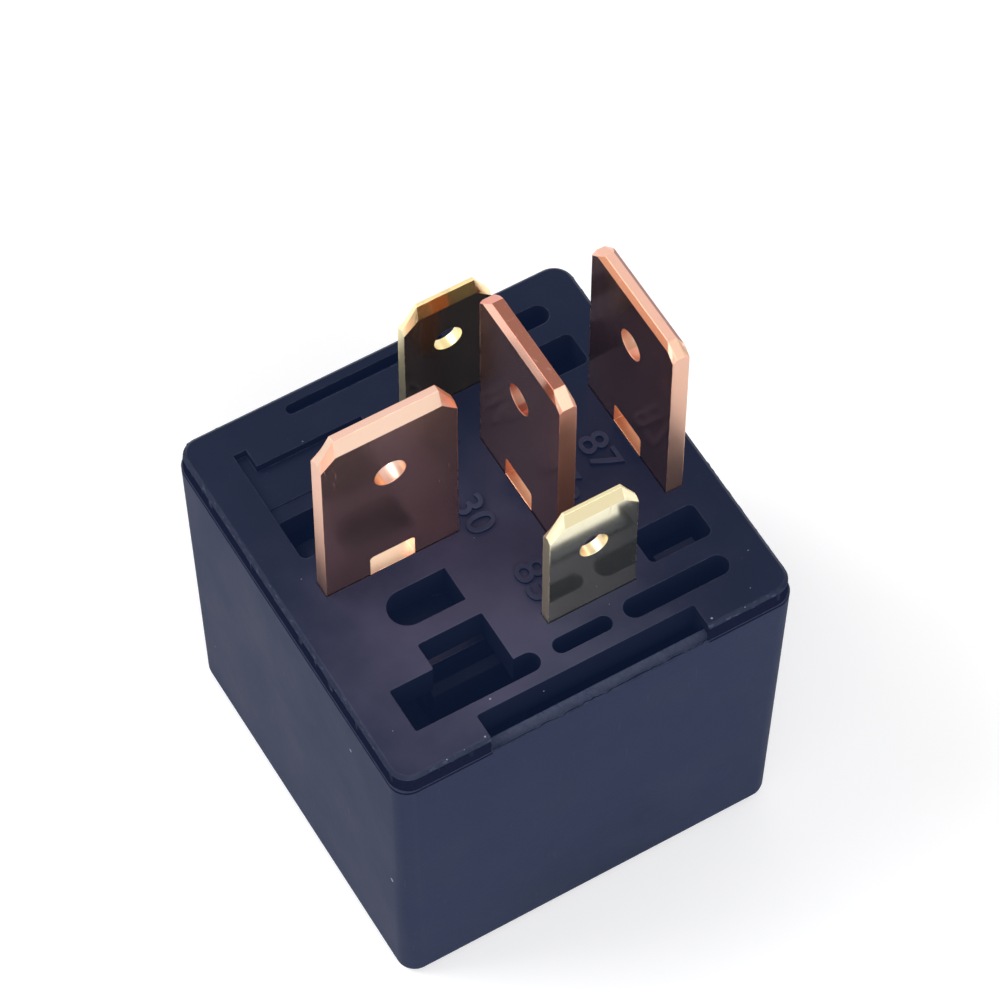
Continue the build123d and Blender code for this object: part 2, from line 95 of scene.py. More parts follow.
# the faint navy glow painted on black plastic and the parts inside it, so that they stay navy where they lie in
# shade
PAINTED_NAVY_GLOW = (0.0035, 0.0070, 0.0220, 1)


# that painted navy glow, as emission over a whole finish
def paint_navy_glow(surface):
    surface.inputs["Emission Color"].default_value = PAINTED_NAVY_GLOW
    surface.inputs["Emission Strength"].default_value = 1.0


# the colour, roughness and metal of a part that sits inside the housing or at its rim, with the painted navy glow
def coat(tree, surface, colour, roughness, metallic=0.0):
    tree.links.new(colour, surface.inputs["Base Color"])
    surface.inputs["Roughness"].default_value = roughness
    surface.inputs["Metallic"].default_value = metallic
    paint_navy_glow(surface)


# fine relief of the surface, laid over its rounded edges where they are given
def relief(tree, surface, height, strength, depth, rounded=None):
    sockets = {"Strength": strength, "Distance": depth, "Height": height}
    if rounded is not None:
        sockets["Normal"] = rounded
    bump = node(tree, "ShaderNodeBump", sockets)
    tree.links.new(bump.outputs["Normal"], surface.inputs["Normal"])


# a finish on every slot of a piece from the frame
def dress(name, finish):
    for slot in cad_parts[name].material_slots:
        slot.material = finish


FLOAT, VECTOR = "NodeSocketFloat", "NodeSocketVector"

# edges rounded by a small radius, with a mask that is 1 on the rounding
rounded_edge, given, out = effect("rounded_edge", [("Radius", FLOAT, 0.0001), ("Breakup", FLOAT, 900.0)],
                                  [("Normal", VECTOR), ("Edge", FLOAT)])
bevel = node(rounded_edge, "ShaderNodeBevel", {"Radius": given["Radius"]}, samples=6)
flat = node(rounded_edge, "ShaderNodeNewGeometry")
dot = node(rounded_edge, "ShaderNodeVectorMath", {0: bevel.outputs["Normal"], 1: flat.outputs["Normal"]},
           operation="DOT_PRODUCT")
turned = node(rounded_edge, "ShaderNodeMapRange", {"Value": dot.outputs["Value"], "From Min": 0.995,
                                                   "From Max": 0.90, "To Min": 0.0, "To Max": 1.0})
coords = node(rounded_edge, "ShaderNodeTexCoord")
patches = node(rounded_edge, "ShaderNodeTexNoise", {"Vector": coords.outputs["Object"],
                                                    "Scale": given["Breakup"], "Detail": 3.0})
broken = node(rounded_edge, "ShaderNodeMapRange", {"Value": patches.outputs["Fac"],
                                                    "From Min": 0.35, "From Max": 0.6})
edge = reckon(rounded_edge, "MULTIPLY", turned.outputs["Result"], broken.outputs["Result"])
rounded_edge.links.new(bevel.outputs["Normal"], out["Normal"])
rounded_edge.links.new(edge, out["Edge"])

# fine grain and long streaks left by rolling or turning, drawn out along one axis of the piece
rolled_grain, given, out = effect("rolled_grain", [("Stretch", VECTOR, (1.0, 1.0, 1.0)), ("Scale", FLOAT, 3000.0)],
                                  [("Height", FLOAT), ("Tone", FLOAT)])
coords = node(rolled_grain, "ShaderNodeTexCoord")
drawn = node(rolled_grain, "ShaderNodeVectorMath", {0: coords.outputs["Object"], 1: given["Stretch"]},
             operation="MULTIPLY")
grain = node(rolled_grain, "ShaderNodeTexNoise", {"Vector": drawn.outputs["Vector"], "Scale": given["Scale"],
                                                  "Detail": 4.0, "Roughness": 0.6})
cloud = node(rolled_grain, "ShaderNodeTexNoise", {"Vector": coords.outputs["Object"], "Scale": 350.0,
                                                  "Detail": 3.0})
rolled_grain.links.new(grain.outputs["Fac"], out["Height"])
rolled_grain.links.new(cloud.outputs["Fac"], out["Tone"])

iron, tree, surface = material("blackened_iron")
grain = place(tree, rolled_grain, Stretch=(1.0, 0.08, 1.0), Scale=4000.0)
edge = place(tree, rounded_edge, Radius=0.0001)
coat(tree, surface, blend(tree, grain["Tone"], (0.025, 0.03, 0.045, 1), (0.07, 0.075, 0.10, 1)), 0.5, metallic=1.0)
relief(tree, surface, grain["Height"], 0.25, 0.00004, edge["Normal"])
for part in ("core", "yoke", "armature"):
    dress(part, iron)


# Bobbin: moulded in one piece from glass-filled nylon, nearly black,
# and pushed over the core before the yoke is riveted on.
moulded_skin, given, out = effect("moulded_skin", [("Scale", FLOAT, 5000.0)],
                                  [("Height", FLOAT), ("Tone", FLOAT)])
coords = node(moulded_skin, "ShaderNodeTexCoord")
fine = node(moulded_skin, "ShaderNodeTexNoise", {"Vector": coords.outputs["Object"], "Scale": given["Scale"],
                                                 "Detail": 2.0, "Roughness": 0.5})
broad = node(moulded_skin, "ShaderNodeTexNoise", {"Vector": coords.outputs["Object"], "Scale": 160.0,
                                                  "Detail": 4.0, "Roughness": 0.6})
moulded_skin.links.new(fine.outputs["Fac"], out["Height"])
moulded_skin.links.new(broad.outputs["Fac"], out["Tone"])

bobbin_nylon, tree, surface = material("bobbin_nylon")
skin = place(tree, moulded_skin, Scale=6000.0)
edge = place(tree, rounded_edge, Radius=0.00012)
coat(tree, surface, blend(tree, skin["Tone"], (0.004, 0.006, 0.012, 1), (0.009, 0.011, 0.020, 1)), 0.75)
relief(tree, surface, skin["Height"], 0.3, 0.00003, edge["Normal"])
surface.inputs["Specular IOR Level"].default_value = 0.1
dress("bobbin", bobbin_nylon)


# Winding: a thousand close turns of enamelled copper wire, its two ends wrapped
# round the posts of the coil blades, and a band of film tape over its lower part.
enamelled, tree, surface = material("enamelled_wire")
coords = node(tree, "ShaderNodeTexCoord")
turns = node(tree, "ShaderNodeTexWave", {"Vector": coords.outputs["Object"], "Scale": 900.0, "Distortion": 0.6,
                                         "Detail Scale": 300.0}, bands_direction="Z").outputs["Fac"]
coat(tree, surface, blend(tree, turns, (0.03, 0.010, 0.006, 1), (0.11, 0.038, 0.020, 1)), 0.5, metallic=0.4)
relief(tree, surface, turns, 0.6, 0.00006)
dress("winding", enamelled)

film, tree, surface = material("film_tape")
grain = place(tree, rolled_grain, Stretch=(1.0, 1.0, 0.1), Scale=1500.0)
coat(tree, surface, blend(tree, grain["Tone"], (0.10, 0.055, 0.015, 1), (0.16, 0.09, 0.03, 1)), 0.35)
relief(tree, surface, grain["Height"], 0.3, 0.00005)
dress("coil_tape", film)


# Leaf, its rivets and the contacts: copper alloy strip riveted under the armature,
# with domed silver alloy buttons that meet those of the two fixed strips.
leaf_copper, tree, surface = material("leaf_copper")
grain = place(tree, rolled_grain, Stretch=(0.05, 1.0, 1.0), Scale=5000.0)
edge = place(tree, rounded_edge, Radius=0.00006)
coat(tree, surface, blend(tree, grain["Tone"], (0.52, 0.24, 0.13, 1), (0.70, 0.38, 0.24, 1)), 0.32, metallic=1.0)
relief(tree, surface, grain["Height"], 0.2, 0.00003, edge["Normal"])
dress("contact_leaf", leaf_copper)

silver, tree, surface = material("silver_alloy")
grain = place(tree, rolled_grain, Stretch=(1.0, 1.0, 1.0), Scale=6000.0)
coat(tree, surface, blend(tree, grain["Tone"], (0.58, 0.56, 0.52, 1), (0.86, 0.85, 0.82, 1)), 0.3, metallic=1.0)
relief(tree, surface, grain["Height"], 0.2, 0.00003)
for part in ("moving_contact", "contact_87", "contact_87a", "leaf_rivets"):
    dress(part, silver)


# Return spring: hard drawn steel wire wound into a close helix, hooked into the lug of the yoke
# and the tail of the armature, which it pulls away from the core.
spring_wire, tree, surface = material("spring_wire")
grain = place(tree, rolled_grain, Stretch=(1.0, 1.0, 0.3), Scale=7000.0)
coat(tree, surface, blend(tree, grain["Tone"], (0.33, 0.33, 0.35, 1), (0.55, 0.55, 0.57, 1)), 0.3, metallic=1.0)
dress("return_spring", spring_wire)


# Braid: fine bare copper wires plaited into a soft cord, welded to the strip of blade 30
# and to the ear of the leaf, so that the load current doesn't pass through the hinge.
plaited, tree, surface = material("plaited_copper")
coords = node(tree, "ShaderNodeTexCoord")
strands = []
for lean in (0.7, -0.7):
    leant = node(tree, "ShaderNodeMapping", {"Vector": coords.outputs["Object"], "Rotation": (lean, lean, 0.0)})
    strands.append(node(tree, "ShaderNodeTexWave", {"Vector": leant.outputs["Vector"], "Scale": 700.0,
                                                    "Distortion": 1.0, "Detail Scale": 900.0},
                        bands_direction="Z").outputs["Fac"])
upper = reckon(tree, "MAXIMUM", *strands)
coat(tree, surface, blend(tree, upper, (0.20, 0.07, 0.04, 1), (0.78, 0.42, 0.29, 1)), 0.35, metallic=1.0)
relief(tree, surface, upper, 0.8, 0.00012)
dress("braid", plaited)


# Load blades 30, 87 and 87a: blanked from 1.2 mm copper strip, with bevelled tips and a latching hole.
# The rolled faces are bright mirrors that have tarnished; the cut edges and tips are pale and scuffed, and the
# bevels of the tips get painted highlights and painted shade by the way they face.
scratches, given, out = effect("scratches", [("Scale", FLOAT, 900.0), ("Amount", FLOAT, 0.5)],
                               [("Mask", FLOAT)])
coords = node(scratches, "ShaderNodeTexCoord")
marks = None
for number, lean in enumerate(((0.5, 0.5, 0.0), (-1.1, -1.1, 0.3), (1.9, 1.7, 0.0), (0.1, -0.2, 0.9))):
    leant = node(scratches, "ShaderNodeMapping", {"Vector": coords.outputs["Object"], "Rotation": lean,
                                                  "Location": (0.01 * number, 0.02, 0.0), "Scale": (7, 7, 0.7)})
    streak = node(scratches, "ShaderNodeTexNoise", {"Vector": leant.outputs["Vector"], "Scale": given["Scale"],
                                                    "Detail": 0.0})
    level = reckon(scratches, "ADD", streak.outputs["Fac"], given["Amount"])
    thin = node(scratches, "ShaderNodeMapRange", {"Value": level, "From Min": 1.29, "From Max": 1.36})
    marks = thin.outputs["Result"] if marks is None else reckon(scratches, "MAXIMUM", marks, thin.outputs["Result"])
scratches.links.new(marks, out["Mask"])

# 1 where the surface faces a given way, 0 where it turns from it
facing, given, out = effect("facing", [("Way", VECTOR, (0.0, 0.0, 1.0)), ("Least", FLOAT, 0.5)],
                            [("Mask", FLOAT)])
flat = node(facing, "ShaderNodeTexCoord")
along = node(facing, "ShaderNodeVectorMath", {0: flat.outputs["Normal"], 1: given["Way"]}, operation="DOT_PRODUCT")
beyond = reckon(facing, "SUBTRACT", along.outputs["Value"], given["Least"])
inside = node(facing, "ShaderNodeMapRange", {"Value": beyond, "From Min": -0.02, "From Max": 0.02})
facing.links.new(inside.outputs["Result"], out["Mask"])

# uneven tarnish: soft clouds and a few darker stains
tarnish, given, out = effect("tarnish", [("Scale", FLOAT, 220.0)], [("Cloud", FLOAT), ("Stain", FLOAT)])
coords = node(tarnish, "ShaderNodeTexCoord")
cloud = node(tarnish, "ShaderNodeTexNoise", {"Vector": coords.outputs["Object"], "Scale": given["Scale"],
                                             "Detail": 5.0, "Roughness": 0.55})
finer = reckon(tarnish, "MULTIPLY", given["Scale"], 6.0)
stain = node(tarnish, "ShaderNodeTexNoise", {"Vector": coords.outputs["Object"], "Scale": finer,
                                             "Detail": 3.0, "Distortion": 0.4})
dark = node(tarnish, "ShaderNodeMapRange", {"Value": stain.outputs["Fac"], "From Min": 0.62, "From Max": 0.72})
tarnish.links.new(cloud.outputs["Fac"], out["Cloud"])
tarnish.links.new(dark.outputs["Result"], out["Stain"])

# 1 under a given height, 0 over it
below, given, out = effect("below", [("Height", FLOAT, 0.0)], [("Mask", FLOAT)])
coords = node(below, "ShaderNodeTexCoord")
spot = node(below, "ShaderNodeSeparateXYZ", {"Vector": coords.outputs["Object"]})
under = reckon(below, "SUBTRACT", given["Height"], spot.outputs["Z"])
deep = node(below, "ShaderNodeMapRange", {"Value": under, "From Min": -0.0001, "From Max": 0.0001})
below.links.new(deep.outputs["Result"], out["Mask"])


FOOT_SLOT_TOP, PLATE_UNDERSIDE, CUT_ROUGHNESS = 0.0300, 0.0243, 0.34


# painted_facets: the colour painted on each bevel of the tip by the way it faces, a painted highlight where lighter
# and painted shade where darker, as (the way it faces, the least that counts, colour)
# slot_highlight: a painted highlight on the faces that look up in the slot at the foot; below the plate the strip
# gets painted shade, darker and duller, and the painted navy glow
def strip_metal(name, dark, pale, cut, across, roughness, painted_facets, slot_highlight):
    made, tree, surface = material(name)
    clouds = place(tree, tarnish, Scale=220.0)
    marks = place(tree, scratches, Scale=900.0, Amount=0.5)["Mask"]
    edge = place(tree, rounded_edge, Radius=0.00008, Breakup=1500.0)
    front = place(tree, facing, Way=across, Least=0.9)["Mask"]
    back = place(tree, facing, Way=tuple(-v for v in across), Least=0.9)["Mask"]
    rolled = reckon(tree, "MAXIMUM", front, back)
    tone = blend(tree, clouds["Cloud"], dark, pale)
    colour = blend(tree, rolled, cut, tone)
    for way, least, tint in painted_facets:
        colour = blend(tree, place(tree, facing, Way=way, Least=least)["Mask"], colour, tint)
    upward = place(tree, facing, Way=(0, 0, 1), Least=0.9)["Mask"]
    low = place(tree, below, Height=FOOT_SLOT_TOP)["Mask"]
    lit_sill = reckon(tree, "MULTIPLY", upward, low)
    colour = blend(tree, lit_sill, colour, slot_highlight)
    ticks = reckon(tree, "MULTIPLY", marks, 0.3)
    wear_and_edge_highlight = reckon(tree, "MAXIMUM", ticks, edge["Edge"])
    colour = blend(tree, wear_and_edge_highlight, colour, cut)
    stained = reckon(tree, "MULTIPLY", clouds["Stain"], 0.30)
    # painted shade below the plate: darker and duller
    shaded_inside = place(tree, below, Height=PLATE_UNDERSIDE)["Mask"]
    colour = blend(tree, shaded_inside, blend(tree, stained, colour, dark), (0.04, 0.03, 0.03, 1))
    tree.links.new(colour, surface.inputs["Base Color"])
    # the painted navy glow, only on the strip below the plate
    tree.links.new(blend(tree, shaded_inside, (0, 0, 0, 1), PAINTED_NAVY_GLOW), surface.inputs["Emission Color"])
    surface.inputs["Emission Strength"].default_value = 1.0
    rough = node(tree, "ShaderNodeMapRange", {"Value": rolled, "To Min": CUT_ROUGHNESS, "To Max": roughness})
    rougher = reckon(tree, "MULTIPLY_ADD", wear_and_edge_highlight, 0.25, rough.outputs["Result"])
    cloudy = reckon(tree, "MULTIPLY_ADD", clouds["Cloud"], 0.05, rougher)
    duller = reckon(tree, "MULTIPLY_ADD", shaded_inside, 0.4, cloudy)
    tree.links.new(duller, surface.inputs["Roughness"])
    grain = place(tree, rolled_grain, Stretch=(1.0, 1.0, 0.15), Scale=2500.0)
    lines = reckon(tree, "MULTIPLY_ADD", marks, -1.5, grain["Height"])
    relief(tree, surface, lines, 0.06, 0.000003, edge["Normal"])
    surface.inputs["Metallic"].default_value = 0.97
    return made


# darkest and palest tone of the tarnish on the rolled faces
COPPER = (0.75, 0.42, 0.34, 1), (0.90, 0.55, 0.45, 1)
# tints painted on the bevels of the tips by the way they face, as painted highlights
CREAM, PINKISH, ORANGE = (0.74, 0.52, 0.40, 1), (0.84, 0.54, 0.43, 1), (0.80, 0.40, 0.22, 1)
copper_30 = strip_metal("copper_blade_30", *COPPER, (0.84, 0.42, 0.29, 1), (0, 1, 0), 0.17, (
    ((0, -0.9, 0.42), 0.96, CREAM), ((0, 0, 1), 0.97, PINKISH), ((0.8, 0, 0.6), 0.80, ORANGE),
    ((-0.8, 0, 0.6), 0.80, CREAM)), (0.98, 0.70, 0.50, 1))
copper_87a = strip_metal("copper_blade_87a", *COPPER, (0.74, 0.29, 0.21, 1), (1, 0, 0), 0.15, (
    ((-0.95, 0, 0.3), 0.975, (0.84, 0.46, 0.34, 1)), ((0, 0, 1), 0.97, (0.34, 0.13, 0.09, 1)),
    ((0, -0.8, 0.6), 0.80, (0.60, 0.36, 0.26, 1))), (1.0, 0.58, 0.36, 1))
copper_87 = strip_metal("copper_blade_87", *COPPER, (0.90, 0.52, 0.39, 1), (1, 0, 0), 0.12, (
    ((-0.8, 0, 0.6), 0.90, (0.60, 0.26, 0.15, 1)), ((0, 0, 1), 0.97, (0.86, 0.50, 0.38, 1)),
    ((0.8, 0, 0.6), 0.90, (0.30, 0.12, 0.10, 1)), ((0, -0.8, 0.6), 0.80, (0.66, 0.42, 0.30, 1))),
    (0.78, 0.36, 0.20, 1))
dress("terminal_30", copper_30)
dress("terminal_87", copper_87)
dress("terminal_87a", copper_87a)


# Coil blades 85 and 86: blanked from 0.8 mm brass strip, held by the bobbin.
# Blade 85 is a clean mirror; 86 has gone olive, with a brown stain on its tip.
# darkest and palest tone of the rolled faces, and the cut edges
BRASS = (0.80, 0.74, 0.52, 1), (0.95, 0.90, 0.68, 1), (0.92, 0.82, 0.55, 1)
brass_85 = strip_metal("brass_blade_85", *BRASS, (0, 1, 0), 0.06, (
    ((0, -0.8, 0.6), 0.90, (0.66, 0.57, 0.35, 1)), ((0, 0, 1), 0.97, (0.80, 0.72, 0.44, 1))), BRASS[2])
brass_86 = strip_metal("brass_blade_86", (0.42, 0.34, 0.22, 1), (0.58, 0.48, 0.30, 1), (1.0, 0.86, 0.52, 1),
                       (0, 1, 0), 0.12, (
    ((0, -0.8, 0.6), 0.90, (0.92, 0.58, 0.20, 1)), ((0, 0, 1), 0.97, (0.92, 0.76, 0.38, 1)),
    ((-0.8, 0, 0.6), 0.80, (0.94, 0.84, 0.50, 1))), BRASS[2])
dress("terminal_85", brass_85)
dress("terminal_86", brass_86)


# Base plate and cover: injection moulded in near-black plastic with a satin skin.
# The plate snaps into the cover and keeps specks of dust and flash along its edges.
specks, given, out = effect("specks", [("Scale", FLOAT, 500.0), ("Share", FLOAT, 0.04)], [("Mask", FLOAT)])
coords = node(specks, "ShaderNodeTexCoord")
cells = node(specks, "ShaderNodeTexVoronoi", {"Vector": coords.outputs["Object"], "Scale": given["Scale"]})
chance = node(specks, "ShaderNodeSeparateColor", {"Color": cells.outputs["Color"]})
chosen = reckon(specks, "LESS_THAN", chance.outputs["Red"], given["Share"])
size = node(specks, "ShaderNodeMapRange", {"Value": chance.outputs["Green"], "To Min": 0.03, "To Max": 0.09})
near = reckon(specks, "LESS_THAN", cells.outputs["Distance"], size.outputs["Result"])
speck = reckon(specks, "MULTIPLY", chosen, near)
specks.links.new(speck, out["Mask"])

# an outer rim, past a reach from the axis and above a height, with thin broken lines along it; moulded() paints a
# highlight on its faces that look up and shade on the rest
rim_band, given, out = effect("rim_band", [("Reach", FLOAT, 0.0), ("Height", FLOAT, 0.0)],
                              [("Rim", FLOAT), ("Line", FLOAT)])
coords = node(rim_band, "ShaderNodeTexCoord")
spot = node(rim_band, "ShaderNodeSeparateXYZ", {"Vector": coords.outputs["Object"]})
reach = reckon(rim_band, "MAXIMUM", *[reckon(rim_band, "ABSOLUTE", spot.outputs[axis]) for axis in ("X", "Y")])
past = reckon(rim_band, "SUBTRACT", reach, given["Reach"])
above = reckon(rim_band, "SUBTRACT", spot.outputs["Z"], given["Height"])
least = reckon(rim_band, "MINIMUM", past, above)
rim = node(rim_band, "ShaderNodeMapRange", {"Value": least, "From Min": 0.0, "From Max": 0.00008})
drawn = node(rim_band, "ShaderNodeVectorMath", {0: coords.outputs["Object"], 1: (0.25, 0.25, 1.0)},
             operation="MULTIPLY")
strand = node(rim_band, "ShaderNodeTexNoise", {"Vector": drawn.outputs["Vector"], "Scale": 8000.0, "Detail": 2.0})
thin = node(rim_band, "ShaderNodeMapRange", {"Value": strand.outputs["Fac"], "From Min": 0.58, "From Max": 0.68})
line = reckon(rim_band, "MULTIPLY", thin.outputs["Result"], rim.outputs["Result"])
rim_band.links.new(rim.outputs["Result"], out["Rim"])
rim_band.links.new(line, out["Line"])

# a painted pool round one spot, fading over a distance: painted light on the plate and painted shade low on the
# front of the cover
painted_pool, given, out = effect("painted_pool", [("Spot", VECTOR, (0.0, 0.0, 0.0)), ("Near", FLOAT, 0.0),
                                         ("Far", FLOAT, 0.02)], [("Mask", FLOAT)])
coords = node(painted_pool, "ShaderNodeTexCoord")
apart = node(painted_pool, "ShaderNodeVectorMath", {0: coords.outputs["Object"], 1: given["Spot"]}, operation="DISTANCE")
pool_wobble = node(painted_pool, "ShaderNodeTexNoise", {"Vector": coords.outputs["Object"], "Scale": 260.0, "Detail": 4.0})
uneven = reckon(painted_pool, "MULTIPLY_ADD", pool_wobble.outputs["Fac"], 0.012, apart.outputs["Value"])
fade = node(painted_pool, "ShaderNodeMapRange", {"Value": uneven, "From Min": given["Far"],
                                            "From Max": given["Near"]}, interpolation_type="SMOOTHSTEP")
painted_pool.links.new(fade.outputs["Result"], out["Mask"])


# spot: the centre of the painted pool, and how near and far it reaches; rim: the reach and height past which the
# rim gets a painted highlight on faces that look up and painted shade on the others
# inner: the mask of the faces that look into the openings or the inside, which get painted shade and more roughness
def moulded(name, dark, pale, pool_colour, roughness, grain_scale, grain_depth, spot, rim, inner,
            ledge_highlight_tones=((0.006, 0.008, 0.016, 1), (0.026, 0.028, 0.046, 1))):
    made, tree, surface = material(name)
    skin = place(tree, moulded_skin, Scale=grain_scale)
    edge = place(tree, rounded_edge, Radius=0.00015, Breakup=1500.0)
    border = place(tree, rim_band, Reach=rim[0], Height=rim[1])
    dust = place(tree, specks, Scale=420.0, Share=0.03)["Mask"]
    marks = place(tree, scratches, Scale=700.0, Amount=0.46)["Mask"]
    pool_share = place(tree, painted_pool, Spot=spot[0], Near=spot[1], Far=spot[2])["Mask"]
    colour = blend(tree, pool_share, blend(tree, skin["Tone"], dark, pale), pool_colour)
    # a painted highlight on the rounded edges
    wear_and_edge_highlight = reckon(tree, "MULTIPLY", edge["Edge"], 0.45)
    colour = blend(tree, wear_and_edge_highlight, colour, (0.07, 0.075, 0.115, 1))
    faint = reckon(tree, "MULTIPLY", marks, 0.15)
    colour = blend(tree, faint, colour, (0.07, 0.075, 0.11, 1))
    colour = blend(tree, dust, colour, (0.28, 0.29, 0.36, 1))
    # a painted highlight on the faces of the rim that look up, and painted shade on its other faces and on the
    # inner faces
    upward = place(tree, facing, Way=(0, 0, 1), Least=0.5)["Mask"]
    ledge = reckon(tree, "MULTIPLY", border["Rim"], upward)
    side = reckon(tree, "SUBTRACT", border["Rim"], ledge)
    shaded_inside = reckon(tree, "SUBTRACT", inner(tree), ledge, clamp=True)
    painted_shade = reckon(tree, "MAXIMUM", shaded_inside, side)
    colour = blend(tree, ledge, colour, blend(tree, skin["Height"], ledge_highlight_tones[0], ledge_highlight_tones[1]))
    colour = blend(tree, painted_shade, colour, (0.0020, 0.0030, 0.0080, 1))
    tree.links.new(blend(tree, border["Line"], colour, (0.040, 0.045, 0.075, 1)), surface.inputs["Base Color"])
    rough = node(tree, "ShaderNodeMapRange", {"Value": skin["Tone"], "From Min": 0.3, "From Max": 0.7,
                                              "To Min": roughness - 0.05, "To Max": roughness + 0.05})
    rougher = reckon(tree, "MULTIPLY_ADD", painted_shade, 0.9 - roughness, rough.outputs["Result"])
    tree.links.new(rougher, surface.inputs["Roughness"])
    ragged = reckon(tree, "MULTIPLY_ADD", border["Line"], 6.0, skin["Height"])
    relief(tree, surface, ragged, grain_depth, 0.00003, edge["Normal"])
    surface.inputs["Specular IOR Level"].default_value = 0.12
    surface.inputs["Specular Tint"].default_value = (0.72, 0.82, 1.0, 1)
    paint_navy_glow(surface)
    return made


# every face that doesn't look up, where moulded() paints shade
def walls_in_shade(tree):
    upward = place(tree, facing, Way=(0, 0, 1), Least=0.5)["Mask"]
    return reckon(tree, "SUBTRACT", 1.0, upward)


# every face of the cover that looks inwards, above its floor, where moulded() paints shade
def inner_shell(tree):
    coords = node(tree, "ShaderNodeTexCoord")
    level = node(tree, "ShaderNodeVectorMath", {0: coords.outputs["Object"], 1: (1.0, 1.0, 0.0)},
                 operation="MULTIPLY")
    away = node(tree, "ShaderNodeVectorMath", {0: level.outputs["Vector"], 1: coords.outputs["Normal"]},
                operation="DOT_PRODUCT")
    outer = node(tree, "ShaderNodeMapRange", {"Value": away.outputs["Value"], "From Min": 0.001, "From Max": 0.002})
    raised = place(tree, rim_band, Reach=0.0, Height=0.0012)["Rim"]
    return reckon(tree, "SUBTRACT", raised, outer.outputs["Result"], clamp=True)


# pool_colour here is a painted pool of light on the near part of the plate, and its ledge tones a painted highlight
# on the plate's edge line
base_plastic = moulded("base_plastic", (0.003, 0.004, 0.011, 1), (0.012, 0.014, 0.026, 1),
                       (0.052, 0.049, 0.079, 1), 0.46, 3000.0, 0.10,
                       ((-0.0045, -0.0085, 0.0268), 0.004, 0.024), (0.01405, 0.0), walls_in_shade)
dress("base", base_plastic)

# pool_colour here is painted shade low on the front of the cover, and its ledge tones a painted highlight on the
# top of its mouth
cover_plastic = moulded("cover_plastic", (0.006, 0.009, 0.026, 1), (0.013, 0.017, 0.040, 1),
                        (0.003, 0.005, 0.015, 1), 0.62, 3500.0, 0.35,
                        ((0.001, -0.0145, 0.000), 0.003, 0.016), (0.0, 0.02525), inner_shell,
                        ((0.045, 0.050, 0.080, 1), (0.095, 0.105, 0.150, 1)))

# the painted shadow of the seam between plate and cover: dark matt plastic without a sheen, for the mouth of the
# cover and a ring round the plate's edge
seam_shadow_plastic, tree, surface = material("seam_shadow_plastic")
skin = place(tree, moulded_skin, Scale=9000.0)
coat(tree, surface, blend(tree, skin["Height"], (0.001, 0.001, 0.004, 1), (0.012, 0.012, 0.024, 1)), 0.95)
relief(tree, surface, skin["Height"], 0.6, 0.00005)
surface.inputs["Specular IOR Level"].default_value = 0.0


# leaves the piece in edit mode with only the wanted vertices, edges or faces selected
def pick(piece, kind, wanted):
    bpy.ops.object.mode_set(mode="EDIT")
    bpy.ops.mesh.select_all(action="DESELECT")
    bpy.ops.object.mode_set(mode="OBJECT")
    for member in getattr(piece.data, kind):
        member.select = wanted(member)
    bpy.ops.object.mode_set(mode="EDIT")
    bpy.ops.mesh.select_mode(type={"vertices": "VERT", "edges": "EDGE", "polygons": "FACE"}[kind])


# where an edge begins and ends
def ends(piece, side):
    return [piece.data.vertices[number].co for number in side.vertices]


COVER_CORNER, COVER_ROUND, COVER_WALL, DRAWN_IN = 0.0013, 0.0008, 0.00095, 27.9 / 28.8
CATCH_REACH, CATCH_HEIGHT, CATCH_WIDTH, CATCH_Z = 0.00035, 0.0006, 0.0060, 0.02465
MOUTH_DEPTH, NOTCH_LEFT, NOTCH_RIGHT = 0.00022, -0.00775, 0.0079
cover_low, cover_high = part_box("cover")
side_length, mouth = cover_high.x - cover_low.x, cover_high.z
bpy.ops.object.select_all(action="DESELECT")
bpy.ops.mesh.primitive_cube_add(size=1.0, location=(0, 0, mouth / 2))
cover_shell = bpy.context.object
cover_shell.name = "cover_shell"
bpy.ops.object.mode_set(mode="EDIT")
bpy.ops.mesh.select_all(action="SELECT")
bpy.ops.transform.resize(value=(side_length, side_length, mouth))
bpy.ops.object.mode_set(mode="OBJECT")
bpy.ops.object.transform_apply(location=True, rotation=True, scale=True)
pick(cover_shell, "polygons", lambda face: face.normal.z < -0.9)
bpy.ops.transform.resize(value=(DRAWN_IN, DRAWN_IN, 1.0))
pick(cover_shell, "edges",
     lambda side: abs((ends(cover_shell, side)[0] - ends(cover_shell, side)[1]).z) > mouth / 2)
bpy.ops.mesh.bevel(offset=COVER_CORNER, segments=10)
pick(cover_shell, "polygons", lambda face: face.normal.z > 0.9)
bpy.ops.mesh.delete(type="FACE")
pick(cover_shell, "edges", lambda side: max(end.z for end in ends(cover_shell, side)) < 0.0001)
bpy.ops.mesh.bevel(offset=COVER_ROUND, segments=5)
bpy.ops.mesh.select_all(action="SELECT")
bpy.ops.mesh.normals_make_consistent(inside=False)
bpy.ops.object.mode_set(mode="OBJECT")
wall = cover_shell.modifiers.new("wall", "SOLIDIFY")
wall.thickness = COVER_WALL
wall.offset = -1.0
wall.use_even_offset = True
bpy.ops.object.modifier_apply(modifier="wall")
